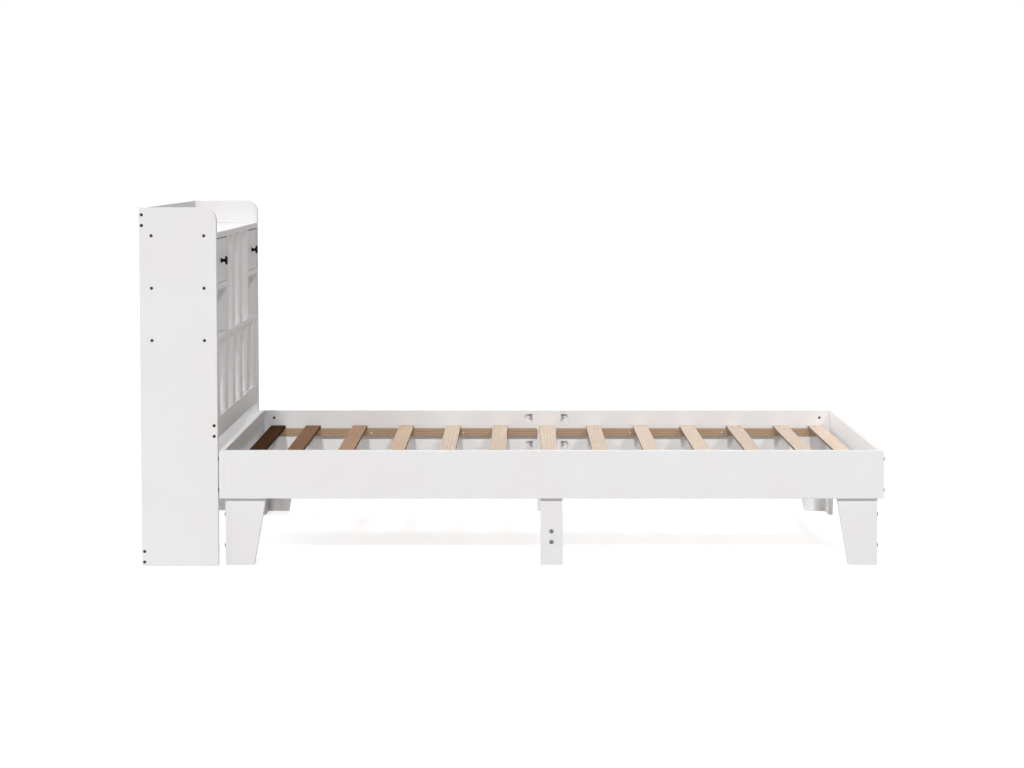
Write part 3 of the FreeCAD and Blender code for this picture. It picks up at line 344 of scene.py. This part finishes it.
def steel(name, bright, dull, smooth, rough):
    """Plated steel with a cloudy shine."""
    material, tree, shader = new_material(name)
    place = add(tree, "ShaderNodeTexCoord").outputs["Object"]
    clouds = add(tree, "ShaderNodeTexNoise", {
        "Vector": place, "Scale": 1 / (PLATING_CLOUD * MM), "Detail": 4.0})
    colour = add(tree, "ShaderNodeValToRGB", {0: clouds.outputs[0]}, stops=((0.3, bright), (0.7, dull)))
    gloss = add(tree, "ShaderNodeMapRange", {
        "Value": clouds.outputs[0], "To Min": smooth, "To Max": rough})
    relief = add(tree, "ShaderNodeBump", {
        "Height": clouds.outputs[0], "Strength": 0.08, "Distance": PLATING_RELIEF * MM})
    tree.links.new(colour.outputs[0], shader.inputs["Base Color"])
    tree.links.new(gloss.outputs[0], shader.inputs["Roughness"])
    tree.links.new(relief.outputs[0], shader.inputs["Normal"])
    shader.inputs["Metallic"].default_value = 1.0
    return material


def black_lacquer():
    """Sprayed black lacquer on a cast knob."""
    material, tree, shader = new_material("black_lacquer")
    place = add(tree, "ShaderNodeTexCoord").outputs["Object"]
    peel = add(tree, "ShaderNodeTexNoise", {
        "Vector": place, "Scale": 1 / (LACQUER_PEEL * MM), "Detail": 2.0})
    colour = add(tree, "ShaderNodeValToRGB", {0: peel.outputs[0]}, stops=(
        (0.3, "#050505"), (0.7, "#0B0B0B")))
    relief = add(tree, "ShaderNodeBump", {
        "Height": peel.outputs[0], "Strength": 0.05, "Distance": PLATING_RELIEF * MM})
    tree.links.new(colour.outputs[0], shader.inputs["Base Color"])
    tree.links.new(relief.outputs[0], shader.inputs["Normal"])
    shader.inputs["Roughness"].default_value = 0.45
    shader.inputs["IOR"].default_value = 1.5
    shader.inputs["Specular IOR Level"].default_value = 0.05
    return material


zinc = steel("zinc_plated_steel", "#C4C6C9", "#A2A4A6", 0.28, 0.45)
dull_zinc = steel("dull_zinc_plated_steel", "#7C7E80", "#585A5B", 0.25, 0.4)
black_steel = steel("blackened_steel", "#4A4846", "#2E2D2C", 0.4, 0.55)
lacquer = black_lacquer()
print("hardware finishes:", zinc.name, dull_zinc.name, black_steel.name, lacquer.name)

# %% [markdown]
# Each CAD node already names its finish in the record. A joiner lays the grain along a board's
# length, so the longest side of a node's box gives the grain. The upright headboard slats are the
# exception: six of them in one node make a box that is wider than it is tall.

# %% Give every board its finish
UPRIGHT = ("headboard_lower_slats", "headboard_upper_slats")


def grain_of(name):
    """The axis of a board's grain."""
    if name in UPRIGHT:
        return "z"
    low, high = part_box(name)
    sides = high - low
    return AXES[max(range(3), key=lambda axis: sides[axis])]


finishes = {
    "white_paint": lambda name: paint[grain_of(name)],
    "pine_slat": lambda name: slat_wood,
    "pine_ledger": lambda name: ledger_wood,
    "drawer_pine": lambda name: drawer_wood[grain_of(name)],
    "black_knob": lambda name: lacquer,
    "zinc_steel": lambda name: zinc,
    "dark_steel": lambda name: black_steel,
}
slot_of = {entry["node"]: entry["material_slot"] for entry in frame["record"]["subparts"]}
for name, thing in nodes.items():
    thing.data.materials.clear()
    thing.data.materials.append(finishes[slot_of[name]](name))
print("finished", len(slot_of), "nodes")

# %% [markdown]
# The painted boards already have their eased edges in CAD. The bare ones were left square there to
# keep the model light, yet a planed slat is never knife-sharp. A Bevel modifier rounds them here
# without touching the CAD mesh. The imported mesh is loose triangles, so a Weld modifier joins them
# first, or every triangle would be bevelled by itself.

# %% Ease the edges of the bare boards
EASED = 1.5
EASED_FROM = 40
bare = ["bed_slats", "drawer_stops"]
bare += [f"drawer_{side}_{piece}" for side in ("left", "right")
         for piece in ("inner_side", "outer_side", "back")]
for name in bare:
    weld = nodes[name].modifiers.new("join triangles", "WELD")
    weld.merge_threshold = 0.01 * MM
    ease = nodes[name].modifiers.new("eased edges", "BEVEL")
    ease.width = EASED * MM
    ease.segments = 2
    ease.limit_method = "ANGLE"
    ease.angle_limit = math.radians(EASED_FROM)
print("eased", len(bare), "bare nodes by", EASED, "mm")

# %% [markdown]
# Bolts, screws, dowel nuts and rods are turned parts, and CAD keeps them as light prisms. Here each
# is spun from a half profile, as on a lathe. Where they go is read from the prisms themselves: the
# longest side of a solid's box is its axis, and the end with the widest ring of points has the head.

# %% Find the fasteners in the frame
def seat(points):
    """Where a fastener starts and which way it points: its widest end, seen from its other end."""
    low = Vector([min(p[axis] for p in points) for axis in range(3)])
    high = Vector([max(p[axis] for p in points) for axis in range(3)])
    middle, sides = (low + high) / 2, high - low
    lengthwise = max(range(3), key=lambda axis: sides[axis])
    axis = Vector([float(i == lengthwise) for i in range(3)])
    off_axis = [((p - middle) - axis * (p - middle).dot(axis)).length for p in points]
    widest = max(off_axis)
    head = sum((p - middle).dot(axis) for p, r in zip(points, off_axis) if r > 0.99 * widest)
    facing = axis if head >= 0 else -axis
    return middle + facing * sides[lengthwise] / 2, facing


for name in ("corner_bolts", "leg_bolts", "headboard_screws", "ledger_screws"):
    print(name, len(solids(name)), "solids, the first with its head facing", seat(solids(name)[0])[1][:])

# %% [markdown]
# On a lathe the work turns against a still tool. Here the spin operator turns a half profile round
# an axis, all the way until it meets itself. A screw modifier would do that too, but a hexagon
# socket has to be pressed into some of the rings afterwards: their points are pushed in until they
# lie on six flats. Then the piece is closed up, and it takes the place of its CAD node.

# %% Spin a profile and press a socket
TURN_STEPS = 24
SHARP_ANGLE = 35
SAME = 1e-7


def hexagon(angle):
    """How far out a hexagon's side lies at an angle, for corners at a distance of 1."""
    sixth = math.radians(60)
    return math.cos(sixth / 2) / math.cos(angle % sixth - sixth / 2)


def turn(bm, profile, place, facing, socket=()):
    """Spin a profile of (radius, height) in millimetres, its height facing a way from a place."""
    ring = [bm.verts.new((radius * MM, 0, height * MM)) for radius, height in profile]
    line = [bm.edges.new(pair) for pair in zip(ring, ring[1:])]
    bmesh.ops.spin(
        bm, geom=ring + line, cent=(0, 0, 0), axis=(0, 0, 1), angle=2 * math.pi,
        steps=TURN_STEPS, use_merge=True)
    verts = list({v for face in bm.faces if not face.tag for v in face.verts})
    for face in bm.faces:
        face.tag = True
    for vert in verts:
        at = vert.co.xy.length, vert.co.z
        if any(abs(at[0] - r * MM) < SAME and abs(at[1] - h * MM) < SAME for r, h in socket):
            vert.co.xy *= hexagon(math.atan2(vert.co.y, vert.co.x))
    lean = Vector((0, 0, 1)).rotation_difference(facing).to_matrix()
    bmesh.ops.rotate(bm, verts=verts, cent=(0, 0, 0), matrix=lean)
    bmesh.ops.translate(bm, verts=verts, vec=place)


def finish_piece(bm, name, material, body, stands_for):
    """Close a bmesh up, hand it to a body and hide the CAD node that it stands for."""
    bmesh.ops.remove_doubles(bm, verts=bm.verts, dist=WELD * MM)
    bmesh.ops.recalc_face_normals(bm, faces=bm.faces)
    for face in bm.faces:
        face.smooth = True
    mesh = bpy.data.meshes.new(name)
    bm.to_mesh(mesh)
    bm.free()
    mesh.set_sharp_from_angle(angle=math.radians(SHARP_ANGLE))
    mesh.materials.append(material)
    piece = bpy.data.objects.new(name, mesh)
    bpy.context.scene.collection.objects.link(piece)
    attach(piece, body)
    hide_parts(stands_for)
    print(name, "has", len(mesh.polygons), "faces and rides on", body)


print("a socket's flats lie at", round(hexagon(math.radians(30)), 3), "of its corners' distance")

# %% [markdown]
# A furniture bolt has a low domed head with a hexagon socket. The profile runs from the tip up the
# shank, round the dome and down into the socket. It is in millimetres, and its height is 0 at the
# top of the head. All bolts of one kind are one piece, as in CAD.

# %% Domed bolts
SOCKET_R = 3.0
BOLT = ((0, -63.5), (2.4, -63.5), (3, -62.9), (3, -3.5), (6.4, -3.5), (6.5, -2.9), (6.1, -1.6),
        (5.2, -0.6), (4.2, -0.1), (3.4, 0), (SOCKET_R, -0.3), (SOCKET_R, -3.2), (0, -3.4))
SOCKET = ((SOCKET_R, -0.3), (SOCKET_R, -3.2))
for name in ("corner_bolts", "leg_bolts"):
    bm = bmesh.new()
    for points in solids(name):
        turn(bm, BOLT, *seat(points), socket=SOCKET)
    finish_piece(bm, f"domed_{name}", dull_zinc, "bed", name)

# %% [markdown]
# The headboard's sides are held by screws whose heads lie flush with the paint, and the ledgers by
# small pan-head screws. Both are the bolt's recipe with another profile: a flat head that tapers
# into its shank, and a low round head with a small socket.

# %% Flush screws and ledger screws
FLUSH = ((0, -48), (1.2, -46), (2.5, -42), (2.5, -3), (4.9, -3), (4.9, -0.4), (4.6, -0.1), (3.4, -0.1),
         (SOCKET_R, -0.3), (SOCKET_R, -2.4), (0, -2.6))
FLUSH_SOCKET = ((SOCKET_R, -0.3), (SOCKET_R, -2.4))
PAN = ((0, -30.5), (1, -28), (2, -25), (2, -2.5), (3.8, -2.5), (4, -1.9), (3.5, -0.8), (2.6, -0.1),
       (1.6, 0), (1.4, -0.2), (1.2, -1.4), (0, -1.6))
PAN_SOCKET = ((1.4, -0.2), (1.2, -1.4))
for name, profile, socket, material in (
        ("headboard_screws", FLUSH, FLUSH_SOCKET, black_steel), ("ledger_screws", PAN, PAN_SOCKET, zinc)):
    bm = bmesh.new()
    for points in solids(name):
        turn(bm, profile, *seat(points), socket=socket)
    finish_piece(bm, f"turned_{name}", material, "bed", name)

# %% [markdown]
# A drawer knob is a cast mushroom: a small foot on the drawer front, a waist for the fingers, and a
# broad cap with a soft rim. The profile is drawn in shares of the cap's radius and of the reach, and
# both are read from the CAD knob, so the turned knob sits where that is and is as large.

# %% Spin the knobs
KNOB = ((0, 0), (0.51, 0), (0.535, 0.02), (0.535, 0.12), (0.5, 0.155), (0.415, 0.2), (0.365, 0.27),
        (0.355, 0.35), (0.355, 0.54), (0.385, 0.61), (0.49, 0.65), (0.71, 0.67), (0.92, 0.68),
        (0.98, 0.7), (1, 0.745), (1, 0.87), (0.97, 0.93), (0.88, 0.97), (0.67, 0.99), (0.34, 0.998),
        (0, 1))
for side in ("left", "right"):
    name = f"drawer_{side}_knob"
    low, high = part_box(name)
    foot = Vector((low.x, (low.y + high.y) / 2, (low.z + high.z) / 2))
    reach, cap_radius = (high.x - low.x) / MM, (high.z - low.z) / 2 / MM
    bm = bmesh.new()
    turn(bm, [(out * cap_radius, up * reach) for out, up in KNOB], foot, Vector((1, 0, 0)))
    finish_piece(bm, f"turned_{name}", lacquer, f"drawer_{side}", name)

# %% [markdown]
# The middle joint of a side rail is drawn tight by two threaded rods with a plate and a nut at each
# end. The plates and nuts keep their CAD shape, and the rods and the round cross nuts are turned
# here. The rod's thread is too fine to model, so close rings stand for it: at one ring for every
# 2 mm they are coarser than the real thread, so that they still show.

# %% Turn the joint rods and the cross nuts
THREAD = 2.0
THREAD_DEPTH = 0.4
RINGED = 24.0
ROD_R = 2.95


def rod_profile(length):
    """A threaded rod from its tip, with ringed ends and a plain middle, in millimetres."""
    end = [(0, 0), (ROD_R - 0.5, 0)]
    for ring in range(int(RINGED / THREAD)):
        end += [(ROD_R, (ring + 0.5) * THREAD), (ROD_R - THREAD_DEPTH, (ring + 1) * THREAD)]
    far = [(radius, length - height) for radius, height in reversed(end)]
    return [(radius, height - length) for radius, height in end + far]


bm = bmesh.new()
for points in solids("rail_joint_rods"):
    along = [p.x / MM for p in points]
    place, facing = seat(points)
    turn(bm, rod_profile(max(along) - min(along)), place, facing)
finish_piece(bm, "threaded_rail_joint_rods", zinc, "bed", "rail_joint_rods")

NUT_SOCKET_R = 3.2
CROSS_NUT = ((0, -12), (4.4, -12), (4.9, -11.5), (4.9, -0.5), (4.5, 0), (3.6, 0), (NUT_SOCKET_R, -0.4),
             (NUT_SOCKET_R, -4.0), (0, -4.4))
bm = bmesh.new()
for points in solids("cross_dowel_nuts"):
    middle = sum(points, Vector()) / len(points)
    inward = Vector((0, -math.copysign(1, middle.y), 0))
    face = min((p.y for p in points), key=abs)
    turn(bm, CROSS_NUT, Vector((middle.x, face, middle.z)), inward)
finish_piece(bm, "turned_cross_dowel_nuts", dull_zinc, "bed", "cross_dowel_nuts")

# %% [markdown]
# The studio is a white sweep. The floor is pale and catches the bed's soft shadow. Seen by the
# camera or in a reflection it also glows, so that it fades into the white background. A glow that
# lit the bed as well would wash out its shade, so the Light Path node keeps it from all other rays.

# %% Floor
FLOOR_SIZE = 60.0
FLOOR_GLOW = 0.66
FLOOR_PATCH = 1000 / 3


def shown_rays(tree):
    """1 for rays that come from the camera, a reflection or a clear pane, and 0 for the others."""
    path = add(tree, "ShaderNodeLightPath")
    shown = add(tree, "ShaderNodeMath", {
        0: path.outputs["Is Camera Ray"], 1: path.outputs["Is Glossy Ray"]}, operation="MAXIMUM")
    clear = add(tree, "ShaderNodeMath", {
        0: shown.outputs[0], 1: path.outputs["Is Transmission Ray"]}, operation="MAXIMUM")
    return clear.outputs[0]


bm = bmesh.new()
bmesh.ops.create_grid(bm, x_segments=8, y_segments=8, size=FLOOR_SIZE / 2)
mesh = bpy.data.meshes.new("studio_floor")
bm.to_mesh(mesh)
bm.free()
floor = bpy.data.objects.new("studio_floor", mesh)
bpy.context.scene.collection.objects.link(floor)

material, tree, shader = new_material("pale_studio_floor")
place = add(tree, "ShaderNodeTexCoord").outputs["Object"]
dust = add(tree, "ShaderNodeTexNoise", {
    "Vector": place, "Scale": 1 / (FLOOR_PATCH * MM), "Detail": 3.0})
colour = add(tree, "ShaderNodeValToRGB", {0: dust.outputs[0]}, stops=(
    (0.3, "#C4C4C4"), (0.7, "#C8C8C8")))
tree.links.new(colour.outputs[0], shader.inputs["Base Color"])
tree.links.new(shown_rays(tree), shader.inputs["Emission Strength"])
shader.inputs["Emission Color"].default_value = (FLOOR_GLOW, FLOOR_GLOW, FLOOR_GLOW, 1)
shader.inputs["Roughness"].default_value = 0.9
mesh.materials.append(material)
print("floor of", FLOOR_SIZE, "m with a glow of", FLOOR_GLOW)

# %% [markdown]
# The surroundings follow the same rule. They are white for the camera and for reflections, and dim
# as a light, because the lamps do the lighting.

# %% White surroundings
SKY = 0.03
world = bpy.data.worlds.new("white_sweep")
world.use_nodes = True
bpy.context.scene.world = world
tree = world.node_tree
tree.nodes.clear()
level = add(tree, "ShaderNodeMapRange", {"Value": shown_rays(tree), "To Min": SKY, "To Max": 1.0})
sky = add(tree, "ShaderNodeBackground", {"Color": (1, 1, 1, 1), "Strength": level.outputs[0]})
add(tree, "ShaderNodeOutputWorld", {"Surface": sky.outputs[0]})
print("a sky of", SKY, "as a light")

# %% [markdown]
# The shadows in the photograph say where its lights stood. Each leg has a narrow shade under the
# rail, so a row of lights stands in front of the long side, about 35 degrees up. The slanting edge
# of shade inside the headboard's open bays comes from the one on the right. The foot rail is bright
# inside and the drawers, which face the foot, are the darkest white, so another light shines from
# behind the headboard. The last, on the far side, opens the slats. All are far softboxes, so they
# are suns and light the whole length evenly. Those in front are narrow, because their shadows have
# an edge, and the other two are as broad as a wall.

# %% Lights
def softbox(name, towards, strength, width):
    """A far light that shines from a direction, with its width in degrees."""
    lamp = bpy.data.lights.new(name, "SUN")
    lamp.energy = strength * math.pi
    lamp.angle = math.radians(width)
    thing = bpy.data.objects.new(name, lamp)
    thing.rotation_euler = Vector(towards).to_track_quat("Z", "Y").to_euler()
    bpy.context.scene.collection.objects.link(thing)
    return thing


softboxes = [
    softbox("front_softbox", (-0.06, -0.83, 0.55), 0.37, 4),
    softbox("front_left_softbox", (-0.45, -0.72, 0.55), 0.12, 8),
    softbox("front_right_softbox", (0.33, -0.77, 0.55), 0.22, 4),
    softbox("head_softbox", (-0.85, 0.05, 0.50), 0.62, 60),
    softbox("back_softbox", (0.00, 0.60, 0.60), 0.34, 60),
]
print("lights:", [light.name for light in softboxes])

# %% [markdown]
# The camera stands in front of the bed's long side, a little above the headboard's top, and looks
# almost straight across. The photograph's uprights are parallel, so the lens is shifted down, as on
# a view camera. A large shift would push the bed out of the frame from other sides, so two fifths of
# the way down is a slight tilt, and the uprights lean by no more than three pixels. The focal length
# and the distance come from how much the far rail shrinks against the near one.

# %% Camera
LENS = 66.46
SHIFT = (-0.0040, -0.1313)
STAND = (0.0094, -6.2154, 1.2533)
TILT = 2.8
scene = bpy.context.scene
camera = bpy.data.cameras.new("studio_camera")
camera.lens = LENS
camera.shift_x, camera.shift_y = SHIFT
camera.clip_end = 200
stand = bpy.data.objects.new("studio_camera", camera)
stand.location = STAND
stand.rotation_euler = (math.radians(90 - TILT), 0, 0)
scene.collection.objects.link(stand)
scene.camera = stand
scene.view_settings.view_transform = "Standard"
print("camera at", stand.location[:], "with a lens of", camera.lens, "mm")
